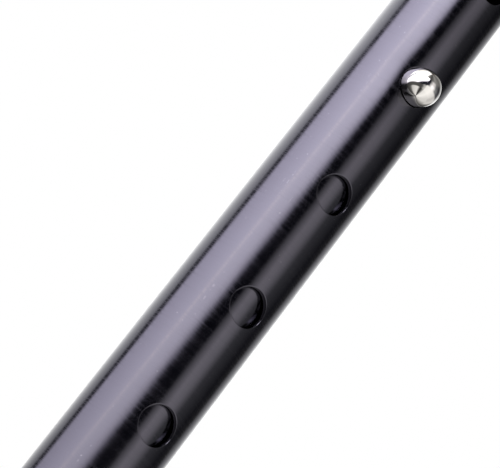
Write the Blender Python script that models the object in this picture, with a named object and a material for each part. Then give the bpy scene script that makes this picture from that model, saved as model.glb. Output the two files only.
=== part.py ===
"""Height-adjustable walking stick: two telescoping aluminium tubes that a snap button locks together.

The frame is +Z up along the shaft. The origin is the middle of the rubber foot's ground face, the
button faces -Y and the handle's nose points to -X. Every length is in metres.
"""

from math import asin, cos, pi, radians, sin

import bmesh
import bpy
from mathutils import Matrix, Vector

MM = 0.001

# Fits between pieces
REST_GAP = 0.3 * MM  # between two faces that rest on each other
PRESS_GAP = 0.25 * MM  # round a pressed-in or pushed-on piece
SLIDE_GAP = 0.3 * MM  # between the two tubes, on the radius
BUTTON_GAP = 0.15 * MM  # round the button in its holes
CUT_PAST = 2 * MM  # how far a cutter reaches past what it cuts

# Round pieces
TUBE_SIDES = 48
TURNED_SIDES = 32
SMALL_SIDES = 24
CREASE = 30  # degrees between faces that stay sharp

# The two tubes
UPPER_DIAMETER = 22 * MM
UPPER_WALL = 1.2 * MM
UPPER_LENGTH = 478 * MM
LOWER_WALL = 1.2 * MM
LOWER_LENGTH = 448 * MM
UPPER_RADIUS = UPPER_DIAMETER / 2
UPPER_BORE = UPPER_RADIUS - UPPER_WALL
LOWER_RADIUS = UPPER_BORE - SLIDE_GAP
LOWER_BORE = LOWER_RADIUS - LOWER_WALL

# The row of height settings
HOLE_COUNT = 7
HOLE_PITCH = 30 * MM
HOLE_IN_USE = 3  # counted from 0 at the lowest hole
LOWEST_HOLE = 60 * MM  # above the upper tube's lower end

# The snap button
BUTTON_RADIUS = 4 * MM
BUTTON_STANDS = 5.3 * MM  # how far the dome stands proud of the upper tube
BUTTON_BELOW_TOP = 22 * MM  # down from the lower tube's upper end
FLANGE_RADIUS = 5.2 * MM
FLANGE_THICKNESS = 1 * MM
RIVET_RADIUS = 1.8 * MM
RIVET_DEPTH = 3.5 * MM  # of its shank inside the button
RIVET_HEAD_RADIUS = 3 * MM
RIVET_HEAD_THICKNESS = 0.9 * MM
HOLE_RADIUS = BUTTON_RADIUS + BUTTON_GAP

# The V-shaped leaf spring
LEAF_WIDTH = 8 * MM
LEAF_THICKNESS = 0.7 * MM
LEAF_FLAT = 14 * MM  # length of the flat that carries the button
LEAF_REACH = 38 * MM  # from the button down to the bend's centre
BEND_RADIUS = 2.4 * MM

# The rubber foot
FOOT_FLARE = 5 * MM  # the bell beyond the collar
FOOT_HEIGHT = 46 * MM
FOOT_FLOOR = 10 * MM  # rubber under the washer
FOOT_WALL = 4.25 * MM  # of the collar round the tube
WASHER_THICKNESS = 1.5 * MM
WASHER_HOLE = 3 * MM

# The plastic plugs
PLUG_LIP = 1.5 * MM
PLUG_WALL = 1.6 * MM
END_PLUG_DEPTH = 12 * MM
GLIDE_DEPTH = 9 * MM

# The anti-rattle nut at the upper tube's lower end
BUSHING_GRIP = 22 * MM  # how much of the tube it covers
BUSHING_BELOW = 12 * MM  # how far it reaches below the tube
BUSHING_WALL = 2 * MM
BUSHING_FLANGE = 6 * MM
FLANGE_STEP = 1.4 * MM  # from the nut's face in to the flange's
THREAD_HEIGHT = 0.6 * MM
THREAD_PITCH = 4 * MM
THREAD_TURNS = 4
NUT_GAP = 0.35 * MM
NUT_WALL = 2.6 * MM
NUT_LIP = 6 * MM
NUT_RIBS = 18
RIB_RADIUS = 1.3 * MM
RING_HEIGHT = 8 * MM
RING_WALL = 3 * MM
RING_SLOT = 2 * MM

# The handle and what holds it
COLLAR_HEIGHT = 20 * MM
COLLAR_WALL = 2 * MM
COLLAR_LID = 1.6 * MM
TOP_PLUG_LENGTH = 40 * MM
PIN_RADIUS = 1.6 * MM
PIN_WALL = 0.6 * MM
PIN_SLOT = 0.7 * MM
PIN_ABOVE_PLUG_END = 10 * MM
STUD_RADIUS = 4 * MM
STUD_LENGTH = 58 * MM
STUD_IN_PLUG = 17 * MM
INSERT_WALL = 1.6 * MM
INSERT_LENGTH = 15 * MM
NECK_HEIGHT = 24 * MM
GRIP_SIDES = 24
# x, middle above the neck, half height, half width
GRIP_STATIONS = (
    (-44.0, 25.5, 2.5, 3.5),
    (-41.5, 24.6, 6.2, 7.8),
    (-34.0, 21.5, 9.4, 10.8),
    (-22.0, 17.0, 11.2, 12.6),
    (-6.0, 14.8, 12.0, 13.8),
    (12.0, 16.4, 12.6, 14.8),
    (32.0, 19.0, 13.4, 15.6),
    (52.0, 18.0, 13.2, 15.4),
    (68.0, 12.6, 11.8, 13.8),
    (80.0, 5.0, 9.2, 10.8),
    (86.5, -0.6, 5.6, 6.8),
    (88.6, -2.8, 2.2, 2.8),
)
STEPS_BETWEEN_STATIONS = 2

# Radii and heights that follow from the sizes above
FOOT_COLLAR_RADIUS = LOWER_RADIUS + PRESS_GAP + FOOT_WALL
FOOT_RADIUS = FOOT_COLLAR_RADIUS + FOOT_FLARE
SLEEVE_BORE = UPPER_RADIUS + PRESS_GAP
THREAD_ROOT = SLEEVE_BORE + BUSHING_WALL
NUT_BORE = THREAD_ROOT + THREAD_HEIGHT + NUT_GAP
NUT_RADIUS = NUT_BORE + NUT_WALL
BUSHING_FLANGE_RADIUS = NUT_RADIUS - FLANGE_STEP
WASHER_BASE = FOOT_FLOOR + REST_GAP
END_PLUG_BASE = WASHER_BASE + WASHER_THICKNESS + REST_GAP
LOWER_BASE = END_PLUG_BASE + PLUG_LIP + REST_GAP
LOWER_TOP = LOWER_BASE + LOWER_LENGTH
BUTTON_Z = LOWER_TOP - BUTTON_BELOW_TOP
UPPER_BASE = BUTTON_Z - HOLE_IN_USE * HOLE_PITCH - LOWEST_HOLE
UPPER_TOP = UPPER_BASE + UPPER_LENGTH
COLLAR_TOP = UPPER_TOP + REST_GAP + COLLAR_LID
NECK_BASE = COLLAR_TOP + REST_GAP
GRIP_BASE = NECK_BASE + NECK_HEIGHT


def clear_scene():
    for old in list(bpy.data.objects):
        bpy.data.objects.remove(old)


def material(name, colour, roughness, metallic):
    made = bpy.data.materials.new(name)
    made.use_nodes = True
    shader = made.node_tree.nodes["Principled BSDF"]
    shader.inputs["Base Color"].default_value = (*colour, 1)
    shader.inputs["Roughness"].default_value = roughness
    shader.inputs["Metallic"].default_value = metallic
    return made


def add_object(name, mesh, finish=None):
    made = bpy.data.objects.new(name, mesh)
    bpy.context.scene.collection.objects.link(made)
    if finish:
        mesh.materials.append(finish)
        mesh.shade_smooth()
        mesh.set_sharp_from_angle(angle=radians(CREASE))
    else:
        made.hide_render = True
        made.display_type = "WIRE"
    return made


def mesh_from(bm, name):
    bmesh.ops.remove_doubles(bm, verts=bm.verts, dist=1e-7)
    bmesh.ops.recalc_face_normals(bm, faces=bm.faces)
    mesh = bpy.data.meshes.new(name)
    bm.to_mesh(mesh)
    bm.free()
    return mesh


def turned(name, profile, sides=TURNED_SIDES, finish=None):
    """A closed outline of (radius, height) pairs, spun once round Z."""
    bm = bmesh.new()
    points = [bm.verts.new((radius, 0, height)) for radius, height in profile]
    rim = [bm.edges.new(pair) for pair in zip(points, points[1:] + points[:1])]
    bmesh.ops.spin(
        bm, geom=points + rim, cent=(0, 0, 0), axis=(0, 0, 1), angle=2 * pi, steps=sides, use_merge=True
    )
    bmesh.ops.dissolve_degenerate(bm, dist=1e-7, edges=bm.edges)
    return add_object(name, mesh_from(bm, name), finish)


def tube_outline(outer, bore, base, top):
    return [(bore, base), (outer, base), (outer, top), (bore, top)]


def cylinder_into(bm, radius, start, end, sides=SMALL_SIDES):
    """A closed cylinder between two points, added to a mesh under construction."""
    start, end = Vector(start), Vector(end)
    turn = (end - start).to_track_quat("Z", "Y").to_matrix().to_4x4()
    bmesh.ops.create_cone(
        bm,
        cap_ends=True,
        segments=sides,
        radius1=radius,
        radius2=radius,
        depth=(end - start).length,
        matrix=Matrix.Translation((start + end) / 2) @ turn,
    )


def block_into(bm, low, high):
    """A closed box between two corners, added to a mesh under construction."""
    low, high = Vector(low), Vector(high)
    bmesh.ops.create_cube(
        bm, size=1, matrix=Matrix.Translation((low + high) / 2) @ Matrix.Diagonal((*(high - low), 1))
    )


def boolean(target, other, operation="DIFFERENCE"):
    step = target.modifiers.new(other.name, "BOOLEAN")
    step.object = other
    step.operation = operation


def helper(name, bm):
    return add_object(name, mesh_from(bm, name))


def arc(centre_r, centre_z, radius, start, end, steps):
    """Points of a round stretch of an outline, between two angles in degrees."""
    angles = [radians(start + (end - start) * i / steps) for i in range(steps + 1)]
    return [(centre_r + radius * cos(a), centre_z + radius * sin(a)) for a in angles]


def make_foot(rubber, steel):
    """Bell-shaped rubber ferrule with a grooved ground face, and the washer it holds."""
    bore = LOWER_RADIUS + PRESS_GAP
    groove, groove_pitch = 1.5 * MM, 4.6 * MM
    profile = [(0, 0)]
    for i in (1, 2, 3):
        inner = groove_pitch * i
        profile += [(inner, 0), (inner, groove), (inner + groove, groove), (inner + groove, 0)]
    profile += arc(FOOT_RADIUS - 2 * MM, 2 * MM, 2 * MM, -90, 0, 3)
    profile += [(FOOT_RADIUS, 5 * MM), (FOOT_COLLAR_RADIUS + 1 * MM, 17 * MM)]
    rib, pitch = 1 * MM, 7 * MM
    for i in range(3):
        profile += arc(FOOT_COLLAR_RADIUS, 22 * MM + i * pitch, rib, -90, 90, 3)
    profile += arc(FOOT_COLLAR_RADIUS - 1.5 * MM, FOOT_HEIGHT - 1.5 * MM, 1.5 * MM, 0, 90, 3)
    profile += [(bore, FOOT_HEIGHT), (bore, FOOT_FLOOR), (0, FOOT_FLOOR)]
    turned("ferrule", profile, finish=rubber)
    top = WASHER_BASE + WASHER_THICKNESS
    turned("ferrule_washer", tube_outline(LOWER_RADIUS, WASHER_HOLE, WASHER_BASE, top), finish=steel)


def make_lower_tube(black, nylon):
    """The tube that slides inside, with its button hole and a plastic plug at each end."""
    tube = turned("lower_tube", tube_outline(LOWER_RADIUS, LOWER_BORE, LOWER_BASE, LOWER_TOP), TUBE_SIDES, black)
    bm = bmesh.new()
    cylinder_into(bm, HOLE_RADIUS, (0, 0, BUTTON_Z), (0, -LOWER_RADIUS - CUT_PAST, BUTTON_Z))
    boolean(tube, helper("button_hole_cutter", bm))

    skirt = LOWER_BORE - PRESS_GAP
    inside = skirt - PLUG_WALL
    top = END_PLUG_BASE + PLUG_LIP
    cup = [(0, END_PLUG_BASE), (LOWER_RADIUS, END_PLUG_BASE), (LOWER_RADIUS, top), (skirt, top)]
    cup += [(skirt, top + END_PLUG_DEPTH), (inside, top + END_PLUG_DEPTH), (inside, top), (0, top)]
    turned("lower_end_plug", cup, finish=nylon)

    base = LOWER_TOP + REST_GAP
    glide = [(inside, base - GLIDE_DEPTH), (skirt, base - GLIDE_DEPTH), (skirt, base), (LOWER_RADIUS, base)]
    glide += [(LOWER_RADIUS, base + PLUG_LIP), (inside, base + PLUG_LIP)]
    turned("lower_tube_glide", glide, finish=nylon)


def out_of_button(name, profile, finish):
    """A turned piece whose own axis points out of the tube at the button, along -Y."""
    made = turned(name, profile, SMALL_SIDES, finish)
    made.rotation_euler = (radians(90), 0, 0)
    made.location = (0, 0, BUTTON_Z)
    return made


def make_button(chrome, steel):
    """The domed button, flanged so that it can't leave the tube, and the rivet that holds it to the leaf."""
    centre = UPPER_RADIUS + BUTTON_STANDS - BUTTON_RADIUS
    stop = (LOWER_BORE**2 - FLANGE_RADIUS**2) ** 0.5 - PRESS_GAP
    back = stop - FLANGE_THICKNESS
    pocket_radius, pocket_depth = RIVET_RADIUS + REST_GAP / 2, RIVET_DEPTH + REST_GAP
    profile = [(0, back + pocket_depth), (pocket_radius, back + pocket_depth), (pocket_radius, back)]
    profile += [(FLANGE_RADIUS, back), (FLANGE_RADIUS, stop), (BUTTON_RADIUS, stop)]
    profile += arc(0, centre, BUTTON_RADIUS, 0, 90, 8)
    out_of_button("snap_button", profile, chrome)

    leaf_face = back - REST_GAP
    leaf_back = leaf_face - LEAF_THICKNESS
    head = leaf_back - REST_GAP
    tip = back + RIVET_DEPTH
    rivet = [(0, head - RIVET_HEAD_THICKNESS), (RIVET_HEAD_RADIUS, head - RIVET_HEAD_THICKNESS)]
    rivet += [(RIVET_HEAD_RADIUS, head), (RIVET_RADIUS, head), (RIVET_RADIUS, tip), (0, tip)]
    out_of_button("button_rivet", rivet, steel)
    return (leaf_face + leaf_back) / 2


def strip_outline(path, thickness):
    """The outline, in the Y-Z plane, of a strip that follows a path."""
    left, right = [], []
    for i, (y, z) in enumerate(path):
        before, after = path[max(i - 1, 0)], path[min(i + 1, len(path) - 1)]
        along = Vector((after[0] - before[0], after[1] - before[1])).normalized()
        side = Vector((-along.y, along.x)) * thickness / 2
        left.append((y + side.x, z + side.y))
        right.append((y - side.x, z - side.y))
    return left + right[::-1]


def make_spring(leaf_middle, steel):
    """A leaf bent to a V: the button rides on its front leg, and its back leg bears on the far wall."""
    wall_reach = (LOWER_BORE**2 - (LEAF_WIDTH / 2) ** 2) ** 0.5
    back_y = wall_reach - PRESS_GAP - LEAF_THICKNESS / 2
    bend_y = (back_y - leaf_middle) / 2
    bend_z = BUTTON_Z - LEAF_REACH
    half = LEAF_FLAT / 2
    path = [(-leaf_middle, BUTTON_Z + half), (-leaf_middle, BUTTON_Z - half)]
    path += [(y, z) for y, z in arc(bend_y, bend_z, BEND_RADIUS, 180, 360, 8)]
    path += [(back_y, BUTTON_Z - half), (back_y, BUTTON_Z + half)]
    bm = bmesh.new()
    outline = [bm.verts.new((-LEAF_WIDTH / 2, y, z)) for y, z in strip_outline(path, LEAF_THICKNESS)]
    face = bm.faces.new(outline)
    pushed = bmesh.ops.extrude_face_region(bm, geom=[face])
    moved = [v for v in pushed["geom"] if isinstance(v, bmesh.types.BMVert)]
    bmesh.ops.translate(bm, verts=moved, vec=(LEAF_WIDTH, 0, 0))
    spring = add_object("button_spring", mesh_from(bm, "button_spring"), steel)
    bm = bmesh.new()
    ends = [(0, -leaf_middle - CUT_PAST, BUTTON_Z), (0, -leaf_middle + CUT_PAST, BUTTON_Z)]
    cylinder_into(bm, RIVET_RADIUS + REST_GAP, *ends, sides=24)
    boolean(spring, helper("rivet_hole_cutter", bm))


def make_upper_tube(black):
    """The tube that carries the handle, with its row of height holes and the pin's cross hole."""
    tube = turned("upper_tube", tube_outline(UPPER_RADIUS, UPPER_BORE, UPPER_BASE, UPPER_TOP), TUBE_SIDES, black)
    bm = bmesh.new()
    for i in range(HOLE_COUNT):
        z = UPPER_BASE + LOWEST_HOLE + i * HOLE_PITCH
        cylinder_into(bm, HOLE_RADIUS, (0, 0, z), (0, -UPPER_RADIUS - CUT_PAST, z))
    boolean(tube, helper("height_hole_cutter", bm))
    bm = bmesh.new()
    reach = UPPER_RADIUS + CUT_PAST
    cylinder_into(bm, PIN_RADIUS + PRESS_GAP, (-reach, 0, pin_height()), (reach, 0, pin_height()), 24)
    pin_cutter = helper("pin_hole_cutter", bm)
    boolean(tube, pin_cutter)
    return pin_cutter


def pin_height():
    return UPPER_TOP - TOP_PLUG_LENGTH + PIN_ABOVE_PLUG_END


def thread_teeth(radius, base):
    """Ridges up an outline: round ones stand in for the thread's helix."""
    teeth = []
    for i in range(THREAD_TURNS):
        z = base + i * THREAD_PITCH
        teeth += [(radius, z), (radius + THREAD_HEIGHT, z + THREAD_PITCH / 4), (radius, z + THREAD_PITCH / 2)]
    return teeth


def make_lock_nut(plastic, nylon):
    """Bushing on the tube's end, the split ring under it, and the ribbed nut that squeezes the ring."""
    sleeve, root = SLEEVE_BORE, THREAD_ROOT
    guide = LOWER_RADIUS + SLIDE_GAP
    shelf = UPPER_BASE - REST_GAP
    base = UPPER_BASE - BUSHING_BELOW
    top = UPPER_BASE + BUSHING_GRIP
    flange = top - BUSHING_FLANGE
    outline = [(guide, base), (root, base), *thread_teeth(root, base + 1 * MM), (root, flange)]
    outline += [(BUSHING_FLANGE_RADIUS, flange), (BUSHING_FLANGE_RADIUS, top - 1.5 * MM)]
    outline += [(BUSHING_FLANGE_RADIUS - 1.5 * MM, top), (sleeve, top), (sleeve, shelf), (guide, shelf)]
    turned("threaded_bushing", outline, finish=plastic)

    ring_top = base - REST_GAP
    ring_base = ring_top - RING_HEIGHT
    ring_bore = LOWER_RADIUS + PRESS_GAP
    ring_edge = ring_bore + RING_WALL
    taper = RING_WALL / 2
    ring = [(ring_bore, ring_base), (ring_edge - taper, ring_base), (ring_edge, ring_base + taper)]
    ring += [(ring_edge, ring_top), (ring_bore, ring_top)]
    split = turned("clamp_ring", ring, finish=nylon)
    bm = bmesh.new()
    block_into(bm, (0, -RING_SLOT / 2, ring_base - CUT_PAST), (NUT_RADIUS, RING_SLOT / 2, ring_top + CUT_PAST))
    boolean(split, helper("ring_slot_cutter", bm))

    nut_top = flange - REST_GAP
    nut_base = ring_base - REST_GAP - NUT_LIP
    room = NUT_BORE
    seat = ring_base - REST_GAP
    mouth = guide + NUT_GAP
    ring_room = ring_edge + NUT_GAP
    nut = [(mouth, nut_base), (NUT_RADIUS - 2 * MM, nut_base), (NUT_RADIUS, nut_base + 3 * MM)]
    nut += [(NUT_RADIUS, nut_top - 1 * MM), (NUT_RADIUS - 1 * MM, nut_top), (room, nut_top)]
    nut += [(room, base), (ring_room, base - 1 * MM), (ring_room, seat + taper)]
    nut += [(ring_room - taper, seat), (mouth, seat)]
    shell = turned("lock_nut", nut, finish=plastic)
    bm = bmesh.new()
    for i in range(NUT_RIBS):
        turn = 2 * pi * i / NUT_RIBS
        x, y = (NUT_RADIUS + 0.5 * MM) * cos(turn), (NUT_RADIUS + 0.5 * MM) * sin(turn)
        cylinder_into(bm, RIB_RADIUS, (x, y, nut_base + 5 * MM), (x, y, nut_top + CUT_PAST), 10)
    boolean(shell, helper("nut_flute_cutter", bm))


def make_handle_joint(chrome, nylon, steel, brass, pin_cutter):
    """What holds the handle: a collar over the tube's end, and a pinned plug whose insert takes the stud."""
    sleeve = SLEEVE_BORE
    edge = sleeve + COLLAR_WALL
    opening = STUD_RADIUS + INSERT_WALL
    lid = UPPER_TOP + REST_GAP
    base = COLLAR_TOP - COLLAR_HEIGHT
    collar = [(sleeve, base), (edge - 0.6 * MM, base), (edge, base + 0.6 * MM), (edge, COLLAR_TOP)]
    collar += [(opening, COLLAR_TOP), (opening, lid), (sleeve, lid)]
    turned("handle_collar", collar, finish=chrome)

    plug_radius = UPPER_BORE - PRESS_GAP
    plug_base = UPPER_TOP - TOP_PLUG_LENGTH
    insert_radius = STUD_RADIUS + PRESS_GAP + INSERT_WALL
    pocket = insert_radius + PRESS_GAP
    pocket_floor = UPPER_TOP - STUD_IN_PLUG - 2 * MM
    plug = [(0, plug_base), (plug_radius - 1 * MM, plug_base), (plug_radius, plug_base + 1 * MM)]
    plug += [(plug_radius, UPPER_TOP), (pocket, UPPER_TOP), (pocket, pocket_floor), (0, pocket_floor)]
    boolean(turned("tube_top_plug", plug, finish=nylon), pin_cutter)

    insert_base = pocket_floor + REST_GAP
    bore = STUD_RADIUS + PRESS_GAP
    insert = tube_outline(insert_radius, bore, insert_base, insert_base + INSERT_LENGTH)
    turned("stud_insert", insert, SMALL_SIDES, brass)
    stud_base = UPPER_TOP - STUD_IN_PLUG
    stud_top = stud_base + STUD_LENGTH
    stud = [(0, stud_base), (STUD_RADIUS - 1 * MM, stud_base), (STUD_RADIUS, stud_base + 1 * MM)]
    stud += [(STUD_RADIUS, stud_top - 3 * MM), (1 * MM, stud_top), (0, stud_top)]
    turned("handle_stud", stud, SMALL_SIDES, steel)

    reach = (UPPER_RADIUS**2 - PIN_RADIUS**2) ** 0.5
    pin = turned("plug_pin", tube_outline(PIN_RADIUS, PIN_RADIUS - PIN_WALL, -reach, reach), 24, steel)
    pin.rotation_euler = (0, radians(90), 0)
    pin.location = (0, 0, pin_height())
    bm = bmesh.new()
    low = (-reach - CUT_PAST, -PIN_SLOT / 2, pin_height())
    high = (reach + CUT_PAST, PIN_SLOT / 2, pin_height() + PIN_RADIUS + CUT_PAST)
    block_into(bm, low, high)
    boolean(pin, helper("pin_slot_cutter", bm))
    return stud_top


def smooth_between(values, t):
    """Catmull-Rom value at t, where 0 is the second of four values and 1 the third."""
    a, b, c, d = values
    return b + 0.5 * t * (c - a + t * (2 * a - 5 * b + 4 * c - d + t * (3 * (b - c) + d - a)))


def grip_stations():
    """The grip's stations with smooth ones added between them, in metres."""
    rows, last = GRIP_STATIONS, len(GRIP_STATIONS) - 1
    found = []
    for i in range(last):
        four = [rows[min(max(k, 0), last)] for k in (i - 1, i, i + 1, i + 2)]
        for step in range(STEPS_BETWEEN_STATIONS):
            t = step / STEPS_BETWEEN_STATIONS
            found.append([smooth_between(column, t) * MM for column in zip(*four)])
    found.append([value * MM for value in rows[last]])
    return found


def make_handle(wood, stud_top):
    """One turned and shaped piece of wood: a nose that curls up, a saddle, a palm swell and a falling tail."""
    stations = grip_stations()
    bm = bmesh.new()
    rings = []
    for i, (x, middle, height, width) in enumerate(stations):
        x_before, middle_before = stations[max(i - 1, 0)][:2]
        x_after, middle_after = stations[min(i + 1, len(stations) - 1)][:2]
        lean = asin((middle_after - middle_before) / Vector((x_after - x_before, middle_after - middle_before)).length)
        ring = []
        for k in range(GRIP_SIDES):
            a = 2 * pi * k / GRIP_SIDES
            up = height * sin(a)
            z = GRIP_BASE + middle + up * cos(lean)
            ring.append(bm.verts.new((x - up * sin(lean), width * cos(a), z)))
        rings.append(ring)
    for ring, following in zip(rings, rings[1:]):
        for k in range(GRIP_SIDES):
            n = (k + 1) % GRIP_SIDES
            bm.faces.new((ring[k], ring[n], following[n], following[k]))
    bm.faces.new(rings[0][::-1])
    bm.faces.new(rings[-1])
    grip = add_object("handle", mesh_from(bm, "handle"), wood)

    edge = SLEEVE_BORE + COLLAR_WALL
    inside = GRIP_BASE + 12 * MM
    neck = [(0, NECK_BASE), (edge, NECK_BASE), (edge - 0.8 * MM, NECK_BASE + 7 * MM)]
    neck += [(edge - 0.4 * MM, NECK_BASE + 14 * MM), (edge + 1.2 * MM, GRIP_BASE + 2 * MM), (edge, inside), (0, inside)]
    boolean(grip, turned("handle_neck", neck), "UNION")
    bm = bmesh.new()
    cylinder_into(bm, STUD_RADIUS + PRESS_GAP, (0, 0, NECK_BASE - CUT_PAST), (0, 0, stud_top + 1 * MM))
    boolean(grip, helper("stud_hole_cutter", bm))


def main():
    clear_scene()
    black = material("black_anodised_aluminium", (0.012, 0.011, 0.015), 0.28, 0.9)
    chrome = material("chrome", (0.78, 0.77, 0.75), 0.06, 1)
    steel = material("spring_steel", (0.42, 0.42, 0.44), 0.35, 1)
    rubber = material("black_rubber", (0.02, 0.02, 0.021), 0.75, 0)
    plastic = material("black_plastic", (0.022, 0.022, 0.024), 0.45, 0)
    nylon = material("natural_nylon", (0.72, 0.7, 0.64), 0.5, 0)
    brass = material("brass", (0.66, 0.47, 0.2), 0.3, 1)
    wood = material("stained_beech", (0.16, 0.06, 0.025), 0.3, 0)

    make_foot(rubber, steel)
    make_lower_tube(black, nylon)
    leaf_middle = make_button(chrome, steel)
    make_spring(leaf_middle, steel)
    pin_cutter = make_upper_tube(black)
    make_lock_nut(plastic, nylon)
    stud_top = make_handle_joint(chrome, nylon, steel, brass, pin_cutter)
    make_handle(wood, stud_top)


main()
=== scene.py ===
"""Looks of a height-adjustable walking stick: a telescopic tube with a sprung chrome button."""

from math import asin, cos, pi, radians, sin

import bmesh
import bpy
from mathutils import Matrix, Vector


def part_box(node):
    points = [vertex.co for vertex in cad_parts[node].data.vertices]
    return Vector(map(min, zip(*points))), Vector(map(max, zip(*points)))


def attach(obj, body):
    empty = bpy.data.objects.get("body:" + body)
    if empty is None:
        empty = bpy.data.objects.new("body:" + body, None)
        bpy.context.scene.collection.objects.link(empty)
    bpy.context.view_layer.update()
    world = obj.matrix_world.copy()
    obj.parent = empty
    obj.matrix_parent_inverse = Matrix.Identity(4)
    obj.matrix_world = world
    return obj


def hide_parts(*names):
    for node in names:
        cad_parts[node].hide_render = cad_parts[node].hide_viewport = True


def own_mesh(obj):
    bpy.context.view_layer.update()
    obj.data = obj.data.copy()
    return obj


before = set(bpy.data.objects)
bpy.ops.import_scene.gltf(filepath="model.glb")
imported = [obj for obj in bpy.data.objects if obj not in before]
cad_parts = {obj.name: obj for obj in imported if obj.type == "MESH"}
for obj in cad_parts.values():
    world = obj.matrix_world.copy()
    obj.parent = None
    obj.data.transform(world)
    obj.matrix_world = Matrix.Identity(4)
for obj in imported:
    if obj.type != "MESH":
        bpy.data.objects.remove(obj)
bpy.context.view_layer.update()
MM = 0.001

# ---- Studio ------------------------------------------------------------------------------------
# The stick stands on a pale floor in a white room. A long lens looks up at the button from the
# front left, tilted so that the shaft runs across the view.

BUTTON_LOW, BUTTON_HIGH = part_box("snap_button")
BUTTON_Z = (BUTTON_LOW.z + BUTTON_HIGH.z) / 2
CAMERA_PLACE = Vector((-181.3, -360.0, -191.7)) * MM  # from the tube's axis at the button
CAMERA_YAW, CAMERA_PITCH, CAMERA_ROLL = radians(63.83), radians(20.1), radians(37.91)
LENS = 152.6
FLOOR_WIDTH = 60


def camera_turn(yaw, pitch, roll):
    """The camera's rotation, and the level direction to its right."""
    forward = Vector((cos(yaw) * cos(pitch), sin(yaw) * cos(pitch), sin(pitch)))
    level = Vector((sin(yaw), -cos(yaw), 0))
    above = level.cross(forward)
    right = cos(roll) * level + sin(roll) * above
    up = cos(roll) * above - sin(roll) * level
    return Matrix((right, up, -forward)).transposed().to_quaternion(), level


turn, LEVEL_RIGHT = camera_turn(CAMERA_YAW, CAMERA_PITCH, CAMERA_ROLL)
camera = bpy.data.objects.new("camera", bpy.data.cameras.new("camera"))
bpy.context.scene.collection.objects.link(camera)
camera.location = CAMERA_PLACE + Vector((0, 0, BUTTON_Z))
camera.rotation_mode = "QUATERNION"
camera.rotation_quaternion = turn
camera.data.lens = LENS
camera.data.sensor_width = 36
bpy.context.scene.camera = camera
bpy.context.scene.view_settings.view_transform = "Standard"


class Number:
    """One varying value. Sums and products of it are worked out at each point of a surface."""

    def __init__(self, shading, socket):
        self.shading, self.socket = shading, socket

    def math(self, operation, *others):
        inputs = dict(enumerate(others))
        return self.shading.node("ShaderNodeMath", {"operation": operation}, inputs)

    def __add__(self, other):
        return self.math("ADD", self, other)

    def __sub__(self, other):
        return self.math("SUBTRACT", self, other)

    def __rsub__(self, other):
        return self.math("SUBTRACT", other, self)

    def __mul__(self, other):
        return self.math("MULTIPLY", self, other)

    def __truediv__(self, other):
        return self.math("DIVIDE", self, other)

    def __pow__(self, other):
        return self.math("POWER", self, other)

    __radd__, __rmul__ = __add__, __mul__

    def over(self, low, high):
        """0 below low, 1 above high, and smooth between."""
        ends = {"Value": self, "From Min": low, "From Max": high}
        return self.shading.node("ShaderNodeMapRange", {"interpolation_type": "SMOOTHSTEP"}, ends)


class Shading:
    """The nodes of one material, or of the studio's surroundings."""

    def __init__(self, tree):
        self.tree = tree

    def node(self, kind, settings=(), inputs=(), output=0):
        made = self.tree.nodes.new(kind)
        for name, value in dict(settings).items():
            if name == "stops":
                for place, colour in value[1:-1]:
                    made.color_ramp.elements.new(place)
                for stop, (place, colour) in zip(made.color_ramp.elements, value):
                    stop.position, stop.color = place, (*colour, 1)
            else:
                setattr(made, name, value)
        for name, value in dict(inputs).items():
            if isinstance(value, Number):
                self.tree.links.new(value.socket, made.inputs[name])
            else:
                made.inputs[name].default_value = value
        return Number(self, made.outputs[output]) if made.outputs else None

    def mix(self, factor, first, second):
        """A colour between two others."""
        colours = [(*c, 1) if isinstance(c, tuple) else c for c in (first, second)]
        inputs = {0: factor, 6: colours[0], 7: colours[1]}
        return self.node("ShaderNodeMix", {"data_type": "RGBA"}, inputs, 2)

    def places(self, scale=(1, 1, 1)):
        """Object coordinates in metres, stretched by a scale along each axis."""
        here = self.node("ShaderNodeTexCoord", output="Object")
        return self.node("ShaderNodeMapping", inputs={"Vector": here, "Scale": scale})

    def noise(self, scale, detail=2, roughness=0.5):
        here = self.places(scale)
        inputs = {"Vector": here, "Scale": 1, "Detail": detail, "Roughness": roughness}
        return self.node("ShaderNodeTexNoise", inputs=inputs)

    def bump(self, height, distance, strength=1, normal=None):
        inputs = {"Height": height, "Distance": distance, "Strength": strength}
        if normal:
            inputs["Normal"] = normal
        return self.node("ShaderNodeBump", inputs=inputs)


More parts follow.
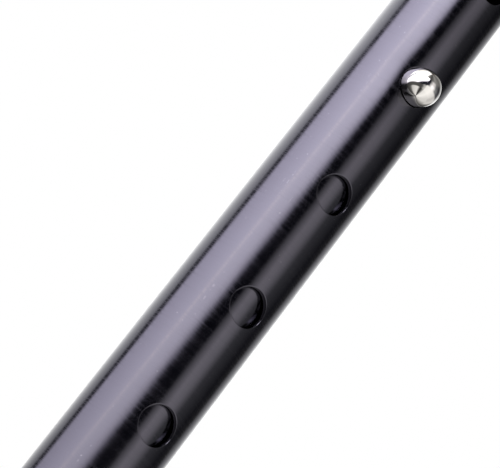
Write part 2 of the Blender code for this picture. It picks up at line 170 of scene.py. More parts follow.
# What stands round the stick, by bearing in degrees to the right of the camera: how bright each
# stretch is, as (bearing, red, green, blue).
ROOM_BRIGHTEST = 8
SOFT_LIGHT = 0.85  # the even light on what isn't glossy
LEVEL_HEIGHT = 0.34  # sine of the elevation where the walls are as bright as listed
LEFT_RISE, RIGHT_FALL = 1.9, 2.2  # how fast they brighten or darken above it
LEAN = 1.2  # how far the left lamp's edges lean to the right, in radians over the whole height
LEFT_DROP = 0.28  # how much lower the walls reach on the left
FLOOR_TOP = -0.56, -0.46  # where the floor gives way to what stands below the horizon
WALLS_FOOT = 0.03, 0.22
WALLS_TOP = 0.62, 0.78
DIMMEST, BRIGHTEST = 0.6, 1.4  # the least and most that the tilt may do to a wall
WARM_WHITE = 1, 0.97, 0.94
ROOM = (
    (-180, 1.8, 1.8, 1.8),
    (-128, 1.75, 1.75, 1.75),
    (-112, 1.4, 1.4, 1.42),
    (-107, 0.25, 0.25, 0.28),
    (-100, 0.2, 0.2, 0.24),
    (-93, 3.3, 3.1, 3.5),
    (-56, 4.3, 4.1, 4.5),
    (-47, 4.5, 4.3, 4.7),
    (-43.5, 5.9, 5.4, 5.3),
    (-40, 4.6, 4.4, 4.7),
    (-22, 4.2, 4.0, 4.3),
    (-13, 3.2, 3.05, 3.3),
    (-5, 1.0, 0.95, 1.1),
    (0, 0.1, 0.1, 0.12),
    (5, 0.02, 0.02, 0.03),
    (21, 0.03, 0.03, 0.04),
    (29, 0.62, 0.6, 0.6),
    (42, 1.42, 1.34, 1.34),
    (56, 1.15, 1.1, 1.1),
    (72, 0.3, 0.3, 0.3),
    (104, 0.06, 0.06, 0.07),
    (120, 0.1, 0.1, 0.1),
    (131, 0.65, 0.65, 0.65),
    (150, 1.05, 1.05, 1.05),
    (180, 1.8, 1.8, 1.8),
)
# The rest of the room by bearing: what is overhead, what stands below the horizon, and the floor.
OVERHEAD = (
    (-180, 0.18),
    (-130, 0.25),
    (-112, 0.5),
    (-92, 1.6),
    (-30, 1.6),
    (-18, 0.7),
    (-8, 0.14),
    (12, 0.12),
    (30, 0.22),
    (50, 0.5),
    (80, 0.34),
    (115, 0.24),
    (140, 0.5),
    (165, 0.5),
    (180, 0.18),
)
BELOW = (
    (-180, 0.04),
    (-135, 0.08),
    (-105, 0.09),
    (-80, 0.14),
    (-60, 0.16),
    (-40, 0.15),
    (-8, 0.12),
    (-1, 0.35),
    (8, 1.0),
    (50, 1.15),
    (85, 0.85),
    (100, 0.6),
    (130, 0.75),
    (142, 0.25),
    (155, 0.05),
    (180, 0.04),
)
FLOOR = (
    (-180, 0.04),
    (-125, 0.05),
    (-100, 0.1),
    (-84, 0.25),
    (-70, 1.1),
    (-50, 1.35),
    (-28, 1.5),
    (-20, 0.7),
    (-13, 0.1),
    (-2, 0.06),
    (5, 0.3),
    (14, 0.9),
    (50, 1.1),
    (85, 0.8),
    (115, 0.75),
    (135, 0.4),
    (155, 0.05),
    (180, 0.04),
)


def surround_with_room():
    world = bpy.data.worlds.new("studio")
    bpy.context.scene.world = world
    world.use_nodes = True
    room = Shading(world.node_tree)
    for old in list(world.node_tree.nodes):
        world.node_tree.nodes.remove(old)
    way = room.node("ShaderNodeTexCoord", output="Generated")

    def part_along(direction):
        dot = {0: way, 1: tuple(direction)}
        return room.node("ShaderNodeVectorMath", {"operation": "DOT_PRODUCT"}, dot, "Value")

    to_camera = Vector((-cos(CAMERA_YAW), -sin(CAMERA_YAW), 0))
    axes = LEVEL_RIGHT, to_camera, Vector((0, 0, 1))
    sideways, ahead, height = (part_along(axis) for axis in axes)
    bearing = sideways.math("ARCTAN2", sideways, ahead)
    left_of_camera = 1 - bearing.over(0, radians(20))
    rise = height - LEVEL_HEIGHT

    def ring(by_bearing, lean=0):
        """The colour of one level of the room, from its list by bearing."""
        stops = []
        for degrees, *colour in by_bearing:
            stops.append((0.5 + degrees / 360, tuple(c / ROOM_BRIGHTEST for c in colour)))
        leaning = bearing - lean * left_of_camera * rise
        return room.node("ShaderNodeValToRGB", {"stops": stops}, {"Fac": leaning / (2 * pi) + 0.5})

    def warm(greys):
        return [(degrees, *(bright * c for c in WARM_WHITE)) for degrees, bright in greys]

    overhead, below, ground = (ring(warm(greys)) for greys in (OVERHEAD, BELOW, FLOOR))
    lit = room.mix(height.over(*FLOOR_TOP), ground, below)
    on_walls = (height + LEFT_DROP * left_of_camera).over(*WALLS_FOOT)
    lit = room.mix(on_walls, lit, ring(ROOM, LEAN))
    lit = room.mix(height.over(*WALLS_TOP), lit, overhead)
    rising = 1 + LEFT_RISE * left_of_camera * rise
    fading = 1 - RIGHT_FALL * (1 - left_of_camera) * rise.math("MAXIMUM", rise, 0)
    tilt = rising.math("MAXIMUM", rising * fading, DIMMEST)
    tilt = tilt.math("MINIMUM", tilt, BRIGHTEST)

    def light(colour, strength):
        return room.node("ShaderNodeBackground", inputs={"Color": colour, "Strength": strength})

    glow = light(lit, ROOM_BRIGHTEST * tilt)
    soft = light((1, 1, 1, 1), SOFT_LIGHT)
    plain = light((1, 1, 1, 1), 1)
    seen = room.node("ShaderNodeLightPath", output="Is Camera Ray")
    mirrored = room.node("ShaderNodeLightPath", output="Is Glossy Ray")
    around = room.node("ShaderNodeMixShader", inputs={0: mirrored, 1: soft, 2: glow})
    both = room.node("ShaderNodeMixShader", inputs={0: seen, 1: around, 2: plain})
    room.node("ShaderNodeOutputWorld", inputs={"Surface": both})
    world.cycles.sampling_method = "NONE"


surround_with_room()


def new_object(name, mesh):
    made = bpy.data.objects.new(name, mesh)
    bpy.context.scene.collection.objects.link(made)
    return made


def mesh_from(bm, name):
    bmesh.ops.remove_doubles(bm, verts=bm.verts, dist=1e-7)
    bmesh.ops.recalc_face_normals(bm, faces=bm.faces)
    mesh = bpy.data.meshes.new(name)
    bm.to_mesh(mesh)
    bm.free()
    return mesh


class Finish:
    """A material: one shader, with its own constant values, and the nodes that vary the rest."""

    def __init__(self, name, **constants):
        self.material = bpy.data.materials.new(name)
        self.material.use_nodes = True
        self.shading = Shading(self.material.node_tree)
        self.shader = self.material.node_tree.nodes["Principled BSDF"]
        for socket, value in constants.items():
            socket = socket.replace("_", " ").title().replace("Ior", "IOR")
            self.shader.inputs[socket].default_value = value

    def feed(self, **values):
        for socket, value in values.items():
            socket = self.shader.inputs[socket.replace("_", " ").title()]
            self.shading.tree.links.new(value.socket, socket)
        return self


def make_floor():
    bm = bmesh.new()
    bmesh.ops.create_grid(bm, x_segments=1, y_segments=1, size=FLOOR_WIDTH / 2)
    floor = new_object("floor", mesh_from(bm, "floor"))
    paint = Finish("floor_paint", roughness=0.7)
    mottle = paint.shading.noise((3, 3, 3), 3)
    paint.feed(base_color=paint.shading.mix(mottle, (0.80, 0.80, 0.79), (0.84, 0.84, 0.83)))
    floor.data.materials.append(paint.material)
    floor.visible_glossy = False


make_floor()


def hang_ceiling_light():
    lamp = bpy.data.lights.new("ceiling_light", "AREA")
    lamp.shape, lamp.size, lamp.energy = "DISK", 1.6, 30
    light = new_object("ceiling_light", lamp)
    light.location = (-1.2, -0.6, 2.8)
    light.rotation_euler = (radians(-12), radians(-24), 0)
    light.visible_camera = light.visible_glossy = False


hang_ceiling_light()

# ---- Rubber foot ---------------------------------------------------------------------------------
# A black rubber ferrule, moulded in one piece and pushed over the end of the lower tube. Its bell
# ends in concentric grooves for grip, and three rings stiffen its neck.

FINE_SIDES = 128
FIT = 0.3 * MM  # gap between pieces that are pushed together


def turned(name, outline, sides=FINE_SIDES):
    """A closed outline of (radius, height) pairs, spun round Z."""
    bm = bmesh.new()
    points = [bm.verts.new((radius, 0, height)) for radius, height in outline]
    edges = [bm.edges.new(pair) for pair in zip(points, points[1:] + points[:1])]
    spin = {"cent": (0, 0, 0), "axis": (0, 0, 1), "angle": 2 * pi}
    bmesh.ops.spin(bm, geom=points + edges, steps=sides, use_merge=True, **spin)
    bmesh.ops.dissolve_degenerate(bm, dist=1e-7, edges=bm.edges)
    return mesh_from(bm, name)


def arc(centre, radius, start, end, steps):
    """Points of a round stretch of an outline, between two angles in degrees."""
    angles = [radians(start + (end - start) * i / steps) for i in range(steps + 1)]
    return [(centre[0] + radius * cos(a), centre[1] + radius * sin(a)) for a in angles]


def finished(mesh, name, body, finish, slot, *stands_for, crease=30):
    """Makes a smooth-shaded piece that rides on a body in place of CAD nodes."""
    mesh.materials.clear()
    mesh.materials.append(finish.material)
    mesh.shade_smooth()
    mesh.set_sharp_from_angle(angle=radians(crease))
    piece = new_object(name, mesh)
    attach(piece, body)
    if stands_for:
        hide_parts(*stands_for)
    return piece


def moulded_rubber():
    rubber = Finish("moulded_black_rubber", metallic=0, specular_ior_level=0.3)
    grain = rubber.shading.noise((2500, 2500, 2500), 3, 0.6)
    wear = rubber.shading.noise((60, 60, 60), 4, 0.65)
    here = rubber.shading.places()
    height = rubber.shading.node("ShaderNodeSeparateXYZ", inputs={0: here}, output="Z")
    scuffed = (1 - height.over(0.5 * MM, 9 * MM)) * wear.over(0.42, 0.62)
    rubber.feed(
        base_color=rubber.shading.mix(scuffed, (0.007, 0.007, 0.0075), (0.040, 0.038, 0.036)),
        roughness=0.55 + 0.22 * wear,
        normal=rubber.shading.bump(grain, 0.05 * MM, 0.6),
    )
    return rubber


def make_foot():
    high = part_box("ferrule")[1]
    edge, top = high.x, high.z
    tube_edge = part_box("lower_tube")[1].x
    neck, rib, rib_pitch = 14 * MM, 1 * MM, 7 * MM
    groove, land = 1.5 * MM, 4.6 * MM
    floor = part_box("ferrule_washer")[0].z - FIT
    draft = 0.2 * MM  # how far each side of a groove leans in
    outline = [(0, 0)]
    for i in (1, 2, 3):
        inner = land * i
        outer = inner + groove
        outline += [(inner, 0), (inner + draft, groove), (outer - draft, groove), (outer, 0)]
    outline += arc((edge - 2 * MM, 2 * MM), 2 * MM, -90, 0, 8)
    outline += arc((edge + 1 * MM, 5.5 * MM), 1 * MM, 180, 165, 2)
    outline += arc((neck + 4 * MM, 17 * MM), 3 * MM, 205, 180, 5)
    for i in range(3):
        middle = 22 * MM + i * rib_pitch
        outline += arc((neck, middle), rib, -90, 90, 10)
    outline += arc((neck - 1.5 * MM, top - 1.5 * MM), 1.5 * MM, 0, 90, 6)
    outline += arc((tube_edge + 1.1 * MM, top - 0.8 * MM), 0.8 * MM, 90, 180, 5)
    outline += [(tube_edge + FIT, floor), (0, floor)]
    mesh = turned("ferrule_skin", outline)
    rubber = moulded_rubber()
    finished(mesh, "rubber_foot", "lower_shaft", rubber, "black_rubber", "ferrule")


make_foot()

# ---- Lower tube ----------------------------------------------------------------------------------
# Thin-walled aluminium tube, anodised black after fine crosswise polishing. It slides inside the
# upper tube, and one drilled hole lets the button through.

SECTION_LENGTH = 30 * MM  # of tube round each hole: the row's pitch
PATCH_HALF = 5.8 * MM  # half height of the square of faces that holds a hole
PATCH_ANGLE = radians(33)  # half its width round the tube
PATCH_SIDE = 16  # faces along each side of it
PLAIN_COLUMNS = 80  # faces round the rest of the tube
PLAIN_ROWS = 5  # faces along each end without holes
HOLE_RADIUS = 4.15 * MM
HOLE_EDGE = 0.13 * MM  # broken edge left by deburring


def on_tube(radius, angle, z):
    return Vector((radius * sin(angle), -radius * cos(angle), z))


def tube_angles():
    """Where faces meet round a tube: even across the patch, and even round the rest."""
    across = [PATCH_ANGLE * (2 * i / PATCH_SIDE - 1) for i in range(PATCH_SIDE + 1)]
    plain = 2 * pi - 2 * PATCH_ANGLE
    rest = [PATCH_ANGLE + plain * i / PLAIN_COLUMNS for i in range(1, PLAIN_COLUMNS)]
    return across + rest


def tube_skin(bm, radius, heights, leave_out=None):
    """Faces round a tube between heights, without those of the patch."""
    angles = tube_angles()
    rows = [[bm.verts.new(on_tube(radius, a, z)) for a in angles] for z in heights]
    for row, (below, above) in enumerate(zip(rows, rows[1:])):
        for column in range(len(angles)):
            if leave_out and column < PATCH_SIDE and row in leave_out:
                continue
            after = (column + 1) % len(angles)
            bm.faces.new((below[column], below[after], above[after], above[column]))


def patch_rim():
    """The patch's own rim, as (angle, height), anticlockwise from its lower left corner."""
    steps = [2 * i / PATCH_SIDE - 1 for i in range(PATCH_SIDE)]
    bottom = [(s * PATCH_ANGLE, -PATCH_HALF) for s in steps]
    right = [(PATCH_ANGLE, s * PATCH_HALF) for s in steps]
    return bottom + right + [(-a, -z) for a, z in bottom + right]


def holed_section(name, outer, bore):
    """A length of tube with one drilled hole facing -Y at its middle."""
    bm = bmesh.new()
    patch_rows = [PATCH_HALF * (2 * i / PATCH_SIDE - 1) for i in range(PATCH_SIDE + 1)]
    half = SECTION_LENGTH / 2
    between = 0.67 * half
    heights = [-half, -between, *patch_rows, between, half]
    inside_patch = range(2, 2 + PATCH_SIDE)
    for radius in (outer, bore):
        tube_skin(bm, radius, heights, inside_patch)
    rim = patch_rim()
    turns = [pi * (1.25 + 2 * i / len(rim)) for i in range(len(rim))]

    def ring(radius, hole, spread):
        """A ring of corners between the hole's edge, at spread 0, and the patch's rim, at 1."""
        corners = []
        for (rim_angle, rim_z), t in zip(rim, turns):
            angle = asin(hole * cos(t) / radius)
            z = hole * sin(t)
            place = on_tube(radius, angle + (rim_angle - angle) * spread, z + (rim_z - z) * spread)
            corners.append(bm.verts.new(place))
        return corners

    edge = HOLE_EDGE
    spreads = (1, 0.8, 0.6, 0.42, 0.27, 0.15, 0.06)
    rings = [ring(outer, HOLE_RADIUS + edge, s) for s in spreads]
    for a in (0, pi / 6, pi / 3, pi / 2):
        rings.append(ring(outer - edge * (1 - cos(a)), HOLE_RADIUS + edge * (1 - sin(a)), 0))
    for a in (0, pi / 4, pi / 2):
        rings.append(ring(bore + edge * (1 - sin(a)), HOLE_RADIUS + edge * (1 - cos(a)), 0))
    rings += [ring(bore, HOLE_RADIUS + edge, s) for s in reversed(spreads)]
    for first, second in zip(rings, rings[1:]):
        for i in range(len(rim)):
            after = (i + 1) % len(rim)
            bm.faces.new((first[i], first[after], second[after], second[i]))
    return mesh_from(bm, name)


def row_of_holes():
    """Copies a length of tube up a line, one pitch apart, and joins the copies."""
    tree = bpy.data.node_groups.new("row_of_holes", "GeometryNodeTree")
    sockets = (("Geometry", "Geometry"), ("Count", "Int"), ("Pitch", "Float"), ("First", "Vector"))
    for name, kind in sockets:
        tree.interface.new_socket(name, in_out="INPUT", socket_type="NodeSocket" + kind)
    tree.interface.new_socket("Finish", in_out="INPUT", socket_type="NodeSocketMaterial")
    tree.interface.new_socket("Geometry", in_out="OUTPUT", socket_type="NodeSocketGeometry")
    names = ("MeshLine", "InstanceOnPoints", "RealizeInstances", "MergeByDistance", "SetMaterial")
    line, copies, real, merged, coated = (tree.nodes.new("GeometryNode" + name) for name in names)
    start, upward = tree.nodes.new("NodeGroupInput"), tree.nodes.new("ShaderNodeCombineXYZ")
    end = tree.nodes.new("NodeGroupOutput")
    merged.inputs["Distance"].default_value = 0.01 * MM
    wires = (
        (start.outputs["Count"], line.inputs["Count"]),
        (start.outputs["First"], line.inputs["Start Location"]),
        (start.outputs["Pitch"], upward.inputs["Z"]),
        (upward.outputs[0], line.inputs["Offset"]),
        (line.outputs[0], copies.inputs["Points"]),
        (start.outputs["Geometry"], copies.inputs["Instance"]),
        (copies.outputs[0], real.inputs[0]),
        (real.outputs[0], merged.inputs["Geometry"]),
        (merged.outputs[0], coated.inputs["Geometry"]),
        (start.outputs["Finish"], coated.inputs["Material"]),
        (coated.outputs[0], end.inputs[0]),
    )
    for wire in wires:
        tree.links.new(*wire)
    return tree


def grown(mesh, tree, **values):
    """The plain mesh that a tree makes out of another mesh, with the values of its inputs."""
    carrier = new_object("carrier", mesh)
    step = carrier.modifiers.new("grow", "NODES")
    step.node_group = tree
    for item in tree.interface.items_tree:
        if item.in_out == "INPUT" and item.name in values:
            step[item.identifier] = values[item.name]
    built = carrier.evaluated_get(bpy.context.evaluated_depsgraph_get())
    made = bpy.data.meshes.new_from_object(built)
    carrier.modifiers.remove(step)
    bpy.data.objects.remove(carrier)
    return made


HOLE_ROW = row_of_holes()


def make_tube(name, node, body, finish, first_hole, hole_count, wall):
    """A tube with a row of drilled holes, closed off at both ends by its own thickness."""
    low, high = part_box(node)
    outer = high.x
    bore = outer - wall
    section = holed_section(name + "_section", outer, bore)
    row = {"Count": hole_count, "Pitch": SECTION_LENGTH, "First": (0, 0, first_hole)}
    mesh = grown(section, HOLE_ROW, Finish=finish.material, **row)
    bm = bmesh.new()
    bm.from_mesh(mesh)
    row_base = first_hole - SECTION_LENGTH / 2
    row_top = row_base + hole_count * SECTION_LENGTH
    round_end = 0.25 * MM
    for start, stop, inward in ((low.z, row_base, 1), (high.z, row_top, -1)):
        near = start + inward * round_end
        heights = [near + (stop - near) * i / PLAIN_ROWS for i in range(PLAIN_ROWS + 1)]
        for radius in (outer, bore):
            tube_skin(bm, radius, heights)
        lips = [(outer, near), (outer - round_end, start), (bore + round_end, start), (bore, near)]
        angles = tube_angles()
        rings = [[bm.verts.new(on_tube(radius, a, z)) for a in angles] for radius, z in lips]
        for one, two in zip(rings, rings[1:]):
            for i in range(len(angles)):
                after = (i + 1) % len(angles)
                bm.faces.new((one[i], one[after], two[after], two[i]))
    return finished(mesh_from(bm, name), name, body, finish, "black_anodised_aluminium", node)


def black_anodising():
    """Mirror-like black skin, with fine streaks round the tube, dust and hairline scratches."""
    skin = Finish("black_anodising", metallic=1)
    shade = skin.shading
    fine = shade.noise((60, 60, 7000), 2, 0.5)
    broad = shade.noise((90, 90, 2200), 2, 0.6)
    cloud = shade.noise((90, 90, 30), 2)
    streak = 0.6 * fine + 0.4 * broad
    cells = {"Vector": shade.places(), "Scale": 900}
    grit = shade.node("ShaderNodeTexVoronoi", {}, cells, "Distance")
    some = shade.noise((420, 420, 420), 0)
    speck = (1 - grit.over(0.05, 0.13)) * some.over(0.62, 0.70)
    hair = shade.noise((1300, 1300, 70), 1, 0.4)
    scratch = hair.over(0.68, 0.71) * broad.over(0.5, 0.7)
    mark = speck.math("MAXIMUM", 0.3 * speck, 0.1 * scratch)
    black = shade.mix(cloud, (0.078, 0.077, 0.092), (0.086, 0.085, 0.101))
    skin.feed(
        base_color=shade.mix(mark, black, (0.30, 0.30, 0.31)),
        roughness=0.08 + 0.12 * streak.over(0.38, 0.64) + 0.3 * mark,
        normal=shade.bump(streak, 0.012 * MM, 0.45),
    )
    return skin


ANODISING = black_anodising()
TUBE_WALL = 1.2 * MM
make_tube("inner_tube", "lower_tube", "lower_shaft", ANODISING, BUTTON_Z, 1, TUBE_WALL)

# ---- Snap button ---------------------------------------------------------------------------------
# A chromed steel pin with a ball end. Its flange stays inside the lower tube, and a rivet through
# its back fixes it to a leaf spring bent to a V, whose other leg bears on the far wall.


def polished_chrome():
    chrome = Finish("polished_chrome", metallic=1)
    shade = chrome.shading
    hair = shade.noise((900, 900, 4000), 3, 0.6)
    smear = shade.noise((260, 260, 260), 3, 0.55)
    chrome.feed(
        base_color=shade.mix(smear, (0.80, 0.79, 0.77), (0.88, 0.87, 0.85)),
        roughness=0.03 + 0.03 * smear.over(0.35, 0.8),
        normal=shade.bump(hair, 0.004 * MM, 0.25),
    )
    return chrome


def drawn_steel():
    steel = Finish("drawn_spring_steel", metallic=1)
    shade = steel.shading
    grain = shade.noise((1800, 1800, 120), 3, 0.6)
    steel.feed(
        base_color=shade.mix(grain, (0.36, 0.36, 0.38), (0.50, 0.50, 0.51)),
        roughness=0.26 + 0.2 * grain,
        normal=shade.bump(grain, 0.02 * MM, 0.4),
    )
    return steel


def facing_front(mesh, z):
    """Turns a mesh made round +Z so that its axis points out of the tube along -Y at a height."""
    mesh.transform(Matrix.Translation((0, 0, z)) @ Matrix.Rotation(pi / 2, 4, "X"))
    return mesh


CHROME = polished_chrome()
STEEL = drawn_steel()


def make_button():
    low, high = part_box("snap_button")
    stands_to, back = -low.y, -high.y
    radius, flange, thick, broken = 4 * MM, (high.x - low.x) / 2, 1 * MM, 0.2 * MM
    outline = [(0, back), (flange - broken, back), (flange, back + broken)]
    outline += [(flange, back + thick - broken), (flange - broken, back + thick)]
    outline += [(radius, back + thick)]
    outline += arc((0, stands_to - radius), radius, 0, 90, 24)
    mesh = facing_front(turned("button_skin", outline, 96), BUTTON_Z)
    finished(mesh, "chrome_button", "snap_button", CHROME, "chrome", "snap_button")


def make_leaf_spring():
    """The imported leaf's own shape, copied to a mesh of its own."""
    bm = bmesh.new()
    bm.from_mesh(bpy.data.objects["button_spring"].data)
    mesh = mesh_from(bm, "leaf_skin")
    leaf = finished(mesh, "leaf_spring", "lower_shaft", STEEL, "spring_steel", "button_spring")
    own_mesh(leaf)


make_button()
make_leaf_spring()
bpy.data.objects["button_rivet"].material_slots[0].material = STEEL.material

# ---- Upper tube ----------------------------------------------------------------------------------
# The wider tube of the two, with the same black skin. Seven drilled and deburred holes set the
# height. Its wall has sunk a little round the hole that carries the button.

HOLE_COUNT = 7
HOLE_IN_USE = 3  # counted from 0 at the lowest
DENT_DEPTH = 0.24 * MM
DENT_REACH = 6 * MM
DENT_FALL = 2.718  # how many times shallower it is one reach from its middle


def make_upper_tube():
    first = BUTTON_Z - HOLE_IN_USE * SECTION_LENGTH
    where = "outer_tube", "upper_tube", "upper_shaft"
    tube = make_tube(*where, ANODISING, first, HOLE_COUNT, TUBE_WALL)
    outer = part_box("upper_tube")[1].x
    centre = Vector((0, -outer, BUTTON_Z))
    for corner in tube.data.vertices:
        away = (corner.co - centre).length
        if away < 3 * DENT_REACH:
            depth = DENT_DEPTH * DENT_FALL ** (-((away / DENT_REACH) ** 2))
            corner.co += Vector((-corner.co.x, -corner.co.y, 0)).normalized() * depth


make_upper_tube()

# ---- Anti-rattle nut -----------------------------------------------------------------------------
# Black nylon parts at the upper tube's lower end. The bushing is pressed on and threaded, and the
# ribbed nut squeezes a split ring on the lower tube to take up the play.


def moulded_plastic(name, dark, light, grain_size=0.4 * MM):
    plastic = Finish(name, metallic=0, specular_ior_level=0.35)
    shade = plastic.shading
    texture = shade.noise((1 / grain_size,) * 3, 3, 0.6)
    cloud = shade.noise((120, 120, 120), 2)
    plastic.feed(
        base_color=shade.mix(cloud, dark, light),
        roughness=0.34 + 0.16 * texture,
        normal=shade.bump(texture, 0.03 * MM, 0.5),
    )
    return plastic


BLACK_NYLON = moulded_plastic("black_moulded_nylon", (0.006, 0.006, 0.0065), (0.011, 0.011, 0.012))
PLAIN_NYLON = moulded_plastic("natural_moulded_nylon", (0.66, 0.64, 0.57), (0.75, 0.73, 0.67))


def ring_of_ribs():
    """Stands copies of one rib evenly round a circle."""
    tree = bpy.data.node_groups.new("ring_of_ribs", "GeometryNodeTree")
    sockets = (("Geometry", "Geometry"), ("Count", "Int"), ("Ring Radius", "Float"))
    for name, kind in (*sockets, ("Finish", "Material")):
        tree.interface.new_socket(name, in_out="INPUT", socket_type="NodeSocket" + kind)
    tree.interface.new_socket("Geometry", in_out="OUTPUT", socket_type="NodeSocketGeometry")
    names = ("MeshCircle", "InstanceOnPoints", "RealizeInstances", "SetMaterial")
    circle, copies, real, coated = (tree.nodes.new("GeometryNode" + name) for name in names)
    start, end = tree.nodes.new("NodeGroupInput"), tree.nodes.new("NodeGroupOutput")
    wires = (
        (start.outputs["Count"], circle.inputs["Vertices"]),
        (start.outputs["Ring Radius"], circle.inputs["Radius"]),
        (circle.outputs[0], copies.inputs["Points"]),
        (start.outputs["Geometry"], copies.inputs["Instance"]),
        (copies.outputs[0], real.inputs[0]),
        (real.outputs[0], coated.inputs["Geometry"]),
        (start.outputs["Finish"], coated.inputs["Material"]),
        (coated.outputs[0], end.inputs[0]),
    )
    for wire in wires:
        tree.links.new(*wire)
    return tree


def make_bushing():
    low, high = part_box("threaded_bushing")
    edge, sleeve = high.x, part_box("upper_tube")[1].x + 0.25 * MM
    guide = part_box("lower_tube")[1].x + FIT
    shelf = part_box("upper_tube")[0].z - FIT
    root, flange = sleeve + 2 * MM, high.z - 6 * MM
    outline = [(guide, low.z), (root, low.z), (root, flange)]
    outline += arc((edge - 0.4 * MM, flange + 0.4 * MM), 0.4 * MM, -90, 0, 4)
    outline += arc((edge - 1.5 * MM, high.z - 1.5 * MM), 1.5 * MM, 0, 90, 8)
    outline += arc((sleeve + 0.3 * MM, high.z - 0.3 * MM), 0.3 * MM, 90, 180, 3)
    outline += [(sleeve, shelf), (guide, shelf)]
    mesh = turned("bushing_skin", outline)
    finished(mesh, "bushing", "upper_shaft", BLACK_NYLON, "black_plastic", "threaded_bushing")


def make_lock_nut():
    low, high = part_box("lock_nut")
    edge = high.x
    rib_count, rib_radius = 24, 1.5 * MM
    body = edge - 0.8 * MM
    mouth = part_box("lower_tube")[1].x + 0.65 * MM
    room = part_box("upper_tube")[1].x + 3.4 * MM
    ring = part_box("clamp_ring")
    outline = arc((mouth + 0.6 * MM, low.z + 0.6 * MM), 0.6 * MM, 180, 270, 4)
    outline += arc((body - 2.4 * MM, low.z + 2.4 * MM), 2.4 * MM, -90, 0, 10)
    outline += arc((edge - 0.5 * MM, high.z - 4.6 * MM), 0.5 * MM, -60, 0, 4)
    outline += arc((edge - 1 * MM, high.z - 1 * MM), 1 * MM, 0, 90, 8)
    outline += arc((room + 0.4 * MM, high.z - 0.4 * MM), 0.4 * MM, 90, 180, 3)
    seat = ring[0].z - FIT
    outline += [(room, ring[1].z), (room, seat), (mouth, seat)]
    shell = turned("nut_shell", outline)

    base, top = low.z + 3.5 * MM, high.z - 4.4 * MM
    one = [(0, base - rib_radius), *arc((0, base), rib_radius, -80, 0, 6)]
    one += [*arc((0, top), rib_radius, 0, 80, 6), (0, top + rib_radius)]
    rib = turned("nut_rib", one, 20)
    ring_radius = edge - rib_radius
    round_nut = {"Count": rib_count, "Ring Radius": ring_radius}
    ribs = grown(rib, ring_of_ribs(), Finish=BLACK_NYLON.material, **round_nut)
    bm = bmesh.new()
    bm.from_mesh(shell)
    bm.from_mesh(ribs)
    mesh = bpy.data.meshes.new("nut_skin")
    bm.to_mesh(mesh)
    bm.free()
    finished(mesh, "ribbed_nut", "lock_nut", BLACK_NYLON, "black_plastic", "lock_nut")


make_bushing()
make_lock_nut()
for hidden in ("clamp_ring", "lower_tube_glide", "lower_end_plug", "tube_top_plug"):
    bpy.data.objects[hidden].material_slots[0].material = PLAIN_NYLON.material

# ---- Handle's fixings ----------------------------------------------------------------------------
# A chromed brass collar hides the joint of tube and handle. Inside, a nylon plug is pinned across
# the tube, and its brass insert takes the steel stud that stands in the handle.


def make_collar():
    low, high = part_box("handle_collar")
    edge, sleeve = high.x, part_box("upper_tube")[1].x + 0.2 * MM
    opening, lid = 5.6 * MM, high.z - 1.6 * MM
    bead, waist = 0.7 * MM, edge - 0.5 * MM
    outline = [(sleeve, low.z), *arc((edge - bead, low.z + bead), bead, -90, 0, 6)]
    outline += arc((edge - bead, low.z + 3 * bead), bead, 0, 45, 4)
    outline += [(waist, low.z + 4.2 * bead), (waist, high.z - 4.2 * bead)]
    outline += arc((edge - bead, high.z - 3 * bead), bead, -45, 0, 4)
    outline += arc((edge - bead, high.z - bead), bead, 0, 90, 6)
    outline += [(opening, high.z), (opening, lid), (sleeve, lid)]
    mesh = turned("collar_skin", outline)
    finished(mesh, "chrome_collar", "upper_shaft", CHROME, "chrome", "handle_collar")


def make_pin():
    low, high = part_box("plug_pin")
    radius, reach = (high.z - low.z) / 2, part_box("upper_tube")[1].x + 0.15 * MM
    crown = 0.5 * MM
    outline = [(0, -reach), *arc((radius - crown, crown - reach), crown, -90, 0, 5)]
    outline += [*arc((radius - crown, reach - crown), crown, 0, 90, 5), (0, reach)]
    mesh = turned("pin_skin", outline, 48)
    middle = Matrix.Translation((0, 0, (low.z + high.z) / 2))
    mesh.transform(middle @ Matrix.Rotation(pi / 2, 4, "Y"))
    finished(mesh, "cross_pin", "upper_shaft", STEEL, "spring_steel", "plug_pin")


def turned_brass():
    brass = Finish("turned_brass", metallic=1)
    lathe = brass.shading.noise((200, 200, 4000), 2)
    yellow = brass.shading.mix(lathe, (0.58, 0.40, 0.16), (0.72, 0.53, 0.25))
    brass.feed(base_color=yellow, roughness=0.2 + 0.2 * lathe)
    return brass


make_collar()
make_pin()
bpy.data.objects["stud_insert"].material_slots[0].material = turned_brass().material
for hidden in ("handle_stud", "ferrule_washer"):
    bpy.data.objects[hidden].material_slots[0].material = STEEL.material

# ---- Handle --------------------------------------------------------------------------------------
# One piece of beech, carved to a nose that curls up, a saddle, a palm swell and a falling tail,
# then stained dark and lacquered. Its neck runs down to the collar.

GRIP_SIDES = 72
STEPS_BETWEEN_STATIONS = 8
NECK_HEIGHT = 24 * MM
VOXEL = 0.9 * MM
SOFTENING = 16
# x, middle above the neck, half height, half width, in millimetres
GRIP_STATIONS = (
    (-44.0, 25.5, 2.5, 3.5),
    (-41.5, 24.6, 6.2, 7.8),
    (-34.0, 21.5, 9.4, 10.8),
    (-22.0, 17.0, 11.2, 12.6),
    (-6.0, 14.8, 12.0, 13.8),
    (12.0, 16.4, 12.6, 14.8),
    (32.0, 19.0, 13.4, 15.6),
    (52.0, 18.0, 13.2, 15.4),
    (68.0, 12.6, 11.8, 13.8),
    (80.0, 5.0, 9.2, 10.8),
    (86.5, -0.6, 5.6, 6.8),
    (88.6, -2.8, 2.2, 2.8),
)
# height up the neck, half length and half width there, in millimetres
NECK_STATIONS = (
    (0.0, 13.2, 13.2),
    (6.0, 12.5, 12.5),
    (13.0, 13.0, 12.5),
    (20.0, 15.5, 12.9),
    (26.0, 21.0, 13.0),
    (31.0, 29.0, 12.6),
    (36.0, 34.0, 11.5),
)


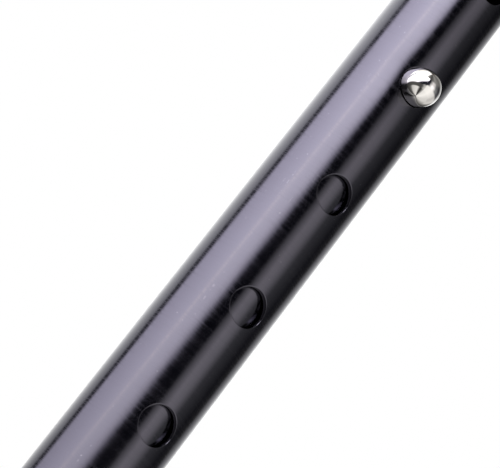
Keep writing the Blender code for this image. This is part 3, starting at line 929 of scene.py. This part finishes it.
def smooth_between(values, t):
    """Catmull-Rom value at t, where 0 is the second of four values and 1 the third."""
    a, b, c, d = values
    return b + 0.5 * t * (c - a + t * (2 * a - 5 * b + 4 * c - d + t * (3 * (b - c) + d - a)))


def grip_stations():
    last = len(GRIP_STATIONS) - 1
    found = []
    for i in range(last):
        four = [GRIP_STATIONS[min(max(k, 0), last)] for k in (i - 1, i, i + 1, i + 2)]
        for step in range(STEPS_BETWEEN_STATIONS):
            t = step / STEPS_BETWEEN_STATIONS
            found.append([smooth_between(column, t) * MM for column in zip(*four)])
    return [*found, [value * MM for value in GRIP_STATIONS[last]]]


def grip_mesh(base):
    stations = grip_stations()
    bm = bmesh.new()
    rings = []
    for i, (x, middle, height, width) in enumerate(stations):
        before, after = stations[max(i - 1, 0)], stations[min(i + 1, len(stations) - 1)]
        along = Vector((after[0] - before[0], after[1] - before[1])).normalized()
        ring = []
        for k in range(GRIP_SIDES):
            a = 2 * pi * k / GRIP_SIDES
            up = height * sin(a)
            z = base + middle + up * along.x
            ring.append(bm.verts.new((x - up * along.y, width * cos(a), z)))
        rings.append(ring)
    for ring, following in zip(rings, rings[1:]):
        for k in range(GRIP_SIDES):
            n = (k + 1) % GRIP_SIDES
            bm.faces.new((ring[k], ring[n], following[n], following[k]))
    bm.faces.new(rings[0])
    bm.faces.new(rings[-1])
    return mesh_from(bm, "grip_blank")


def neck_mesh(base):
    bm = bmesh.new()
    last = len(NECK_STATIONS) - 1
    rings = []
    for i in range(last):
        four = [NECK_STATIONS[min(max(k, 0), last)] for k in (i - 1, i, i + 1, i + 2)]
        for step in range(STEPS_BETWEEN_STATIONS):
            t = step / STEPS_BETWEEN_STATIONS
            z, length, width = (smooth_between(column, t) * MM for column in zip(*four))
            angles = [2 * pi * k / GRIP_SIDES for k in range(GRIP_SIDES)]
            corners = [(length * cos(a), width * sin(a), base + z) for a in angles]
            rings.append([bm.verts.new(corner) for corner in corners])
    for ring, following in zip(rings, rings[1:]):
        for k in range(GRIP_SIDES):
            n = (k + 1) % GRIP_SIDES
            bm.faces.new((ring[k], ring[n], following[n], following[k]))
    bm.faces.new(rings[0])
    bm.faces.new(rings[-1])
    return mesh_from(bm, "neck_blank")


def stained_beech():
    """Long dark rays and pores along the grain, under a clear lacquer."""
    wood = Finish("stained_beech", metallic=0, coat_roughness=0.1, coat_weight=0.35)
    shade = wood.shading
    wave = shade.noise((14, 60, 60), 3, 0.55)
    bands = {"wave_type": "BANDS", "bands_direction": "Z", "wave_profile": "SAW"}
    spread = {"Vector": shade.places((0.10, 0.55, 1)), "Scale": 90}
    spread |= {"Distortion": 7, "Detail": 3, "Detail Scale": 1.4}
    rings = shade.node("ShaderNodeTexWave", bands, spread, 1)
    pores = shade.noise((140, 2600, 2600), 2, 0.5).over(0.60, 0.72)
    flecks = shade.noise((260, 900, 900), 1).over(0.62, 0.70)
    ringed = shade.mix(rings * 0.65 + wave * 0.35, (0.070, 0.021, 0.008), (0.160, 0.054, 0.019))
    flecked = shade.mix(flecks * 0.35, ringed, (0.21, 0.078, 0.030))
    wood.feed(
        base_color=shade.mix(pores * 0.7, flecked, (0.026, 0.009, 0.004)),
        roughness=0.33 + 0.12 * wave,
        normal=shade.bump(pores, -0.03 * MM, 0.35),
    )
    return wood


def make_handle():
    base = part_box("handle")[0].z
    blank = new_object("blank", grip_mesh(base + NECK_HEIGHT))
    post = new_object("post", neck_mesh(base))
    join = blank.modifiers.new("join", "BOOLEAN")
    join.operation, join.object, join.solver = "UNION", post, "EXACT"
    even = blank.modifiers.new("even", "REMESH")
    even.mode, even.voxel_size = "VOXEL", VOXEL
    soft = blank.modifiers.new("soft", "SMOOTH")
    soft.factor, soft.iterations = 0.5, SOFTENING
    built = blank.evaluated_get(bpy.context.evaluated_depsgraph_get())
    mesh = bpy.data.meshes.new_from_object(built)
    for spare in (blank, post):
        bpy.data.objects.remove(spare)
    mesh.name = "handle_skin"
    wood = stained_beech()
    finished(mesh, "beech_handle", "upper_shaft", wood, "stained_beech", "handle", crease=60)


make_handle()
